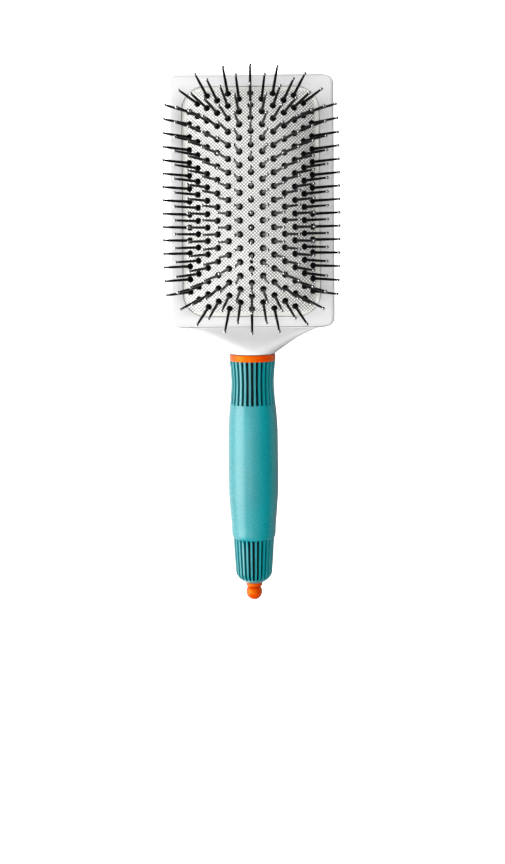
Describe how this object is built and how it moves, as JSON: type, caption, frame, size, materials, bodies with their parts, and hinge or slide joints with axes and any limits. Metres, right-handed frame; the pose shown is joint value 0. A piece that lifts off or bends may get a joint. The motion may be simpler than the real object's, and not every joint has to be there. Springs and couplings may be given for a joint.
{
  "type": "paddle hair brush",
  "caption": "Rectangular cushioned paddle hair brush: ball-tipped pins on an air-cushion pad, round ribbed rubber handle, collar ring, and a sectioning pick that pulls out of the handle's end.",
  "frame": {"origin": "on the paddle's flat back face, under the middle of the pad", "axes": "+Y from the handle to the paddle's tip, +Z from the back face out of the pins, +X across the paddle"},
  "size_m": [0.0868, 0.2644, 0.0441],
  "materials": {
    "white_plastic": "pearl gloss",
    "cushion_rubber": "matt, fine diamond mesh",
    "black_nylon": "gloss",
    "orange_plastic": "gloss",
    "teal_rubber": "soft-touch satin",
    "core_plastic": "matt",
    "pick_steel": "bright drawn wire",
    "black_rubber": "matt"
  },
  "bodies": {
    "handle_and_paddle": {"back_shell": "white_plastic", "front_frame": "white_plastic", "cushion_bead": "cushion_rubber", "collar_ring": "orange_plastic", "handle_core": "core_plastic", "grip_sleeve": "teal_rubber", "end_ferrule": "orange_plastic"},
    "cushion": {"cushion_pad": "cushion_rubber"},
    "pins_01": {"pin_column_01": "black_nylon"},
    "pins_02": {"pin_column_02": "black_nylon"},
    "pins_03": {"pin_column_03": "black_nylon"},
    "pins_04": {"pin_column_04": "black_nylon"},
    "pins_05": {"pin_column_05": "black_nylon"},
    "pins_06": {"pin_column_06": "black_nylon"},
    "pins_07": {"pin_column_07": "black_nylon"},
    "pins_08": {"pin_column_08": "black_nylon"},
    "pins_09": {"pin_column_09": "black_nylon"},
    "pins_10": {"pin_column_10": "black_nylon"},
    "pins_11": {"pin_column_11": "black_nylon"},
    "pins_12": {"pin_column_12": "black_nylon"},
    "pins_13": {"pin_column_13": "black_nylon"},
    "sectioning_pick": {"pick_knob": "orange_plastic", "pick_pin": "pick_steel", "pick_o_ring": "black_rubber"}
  },
  "joints": [
    {"name": "cushion_press", "type": "slide", "parent": "handle_and_paddle", "child": "cushion", "axis": [0, 0, 1], "range_m": [-0.002, 0], "stiffness_N_per_m": 2500},
    {"name": "pin_flex_01", "type": "hinge", "parent": "cushion", "child": "pins_01", "pos_m": [-0.029, 0, 0.01082], "axis": [0, 1, 0], "range_deg": [-2, 4], "stiffness_Nm_per_rad": 0.05},
    {"name": "pin_flex_02", "type": "hinge", "parent": "cushion", "child": "pins_02", "pos_m": [-0.02492, 0, 0.01348], "axis": [0, 1, 0], "range_deg": [-4, 4], "stiffness_Nm_per_rad": 0.05},
    {"name": "pin_flex_03", "type": "hinge", "parent": "cushion", "child": "pins_03", "pos_m": [-0.02044, 0, 0.01507], "axis": [0, 1, 0], "range_deg": [-4, 4], "stiffness_Nm_per_rad": 0.05},
    {"name": "pin_flex_04", "type": "hinge", "parent": "cushion", "child": "pins_04", "pos_m": [-0.01563, 0, 0.01749], "axis": [0, 1, 0], "range_deg": [-4, 4], "stiffness_Nm_per_rad": 0.05},
    {"name": "pin_flex_05", "type": "hinge", "parent": "cushion", "child": "pins_05", "pos_m": [-0.01056, 0, 0.01766], "axis": [0, 1, 0], "range_deg": [-4, 4], "stiffness_Nm_per_rad": 0.05},
    {"name": "pin_flex_06", "type": "hinge", "parent": "cushion", "child": "pins_06", "pos_m": [-0.00532, 0, 0.01947], "axis": [0, 1, 0], "range_deg": [-4, 4], "stiffness_Nm_per_rad": 0.05},
    {"name": "pin_flex_07", "type": "hinge", "parent": "cushion", "child": "pins_07", "pos_m": [0, 0, 0.0185], "axis": [0, 1, 0], "range_deg": [-4, 4], "stiffness_Nm_per_rad": 0.05},
    {"name": "pin_flex_08", "type": "hinge", "parent": "cushion", "child": "pins_08", "pos_m": [0.00532, 0, 0.01947], "axis": [0, 1, 0], "range_deg": [-4, 4], "stiffness_Nm_per_rad": 0.05},
    {"name": "pin_flex_09", "type": "hinge", "parent": "cushion", "child": "pins_09", "pos_m": [0.01056, 0, 0.01766], "axis": [0, 1, 0], "range_deg": [-4, 4], "stiffness_Nm_per_rad": 0.05},
    {"name": "pin_flex_10", "type": "hinge", "parent": "cushion", "child": "pins_10", "pos_m": [0.01563, 0, 0.01749], "axis": [0, 1, 0], "range_deg": [-4, 4], "stiffness_Nm_per_rad": 0.05},
    {"name": "pin_flex_11", "type": "hinge", "parent": "cushion", "child": "pins_11", "pos_m": [0.02044, 0, 0.01507], "axis": [0, 1, 0], "range_deg": [-4, 4], "stiffness_Nm_per_rad": 0.05},
    {"name": "pin_flex_12", "type": "hinge", "parent": "cushion", "child": "pins_12", "pos_m": [0.02492, 0, 0.01348], "axis": [0, 1, 0], "range_deg": [-4, 4], "stiffness_Nm_per_rad": 0.05},
    {"name": "pin_flex_13", "type": "hinge", "parent": "cushion", "child": "pins_13", "pos_m": [0.029, 0, 0.01082], "axis": [0, 1, 0], "range_deg": [-4, 2], "stiffness_Nm_per_rad": 0.05},
    {"name": "pick_pull", "type": "slide", "parent": "handle_and_paddle", "child": "sectioning_pick", "axis": [0, -1, 0], "range_m": [0, 0.066]}
  ]
}
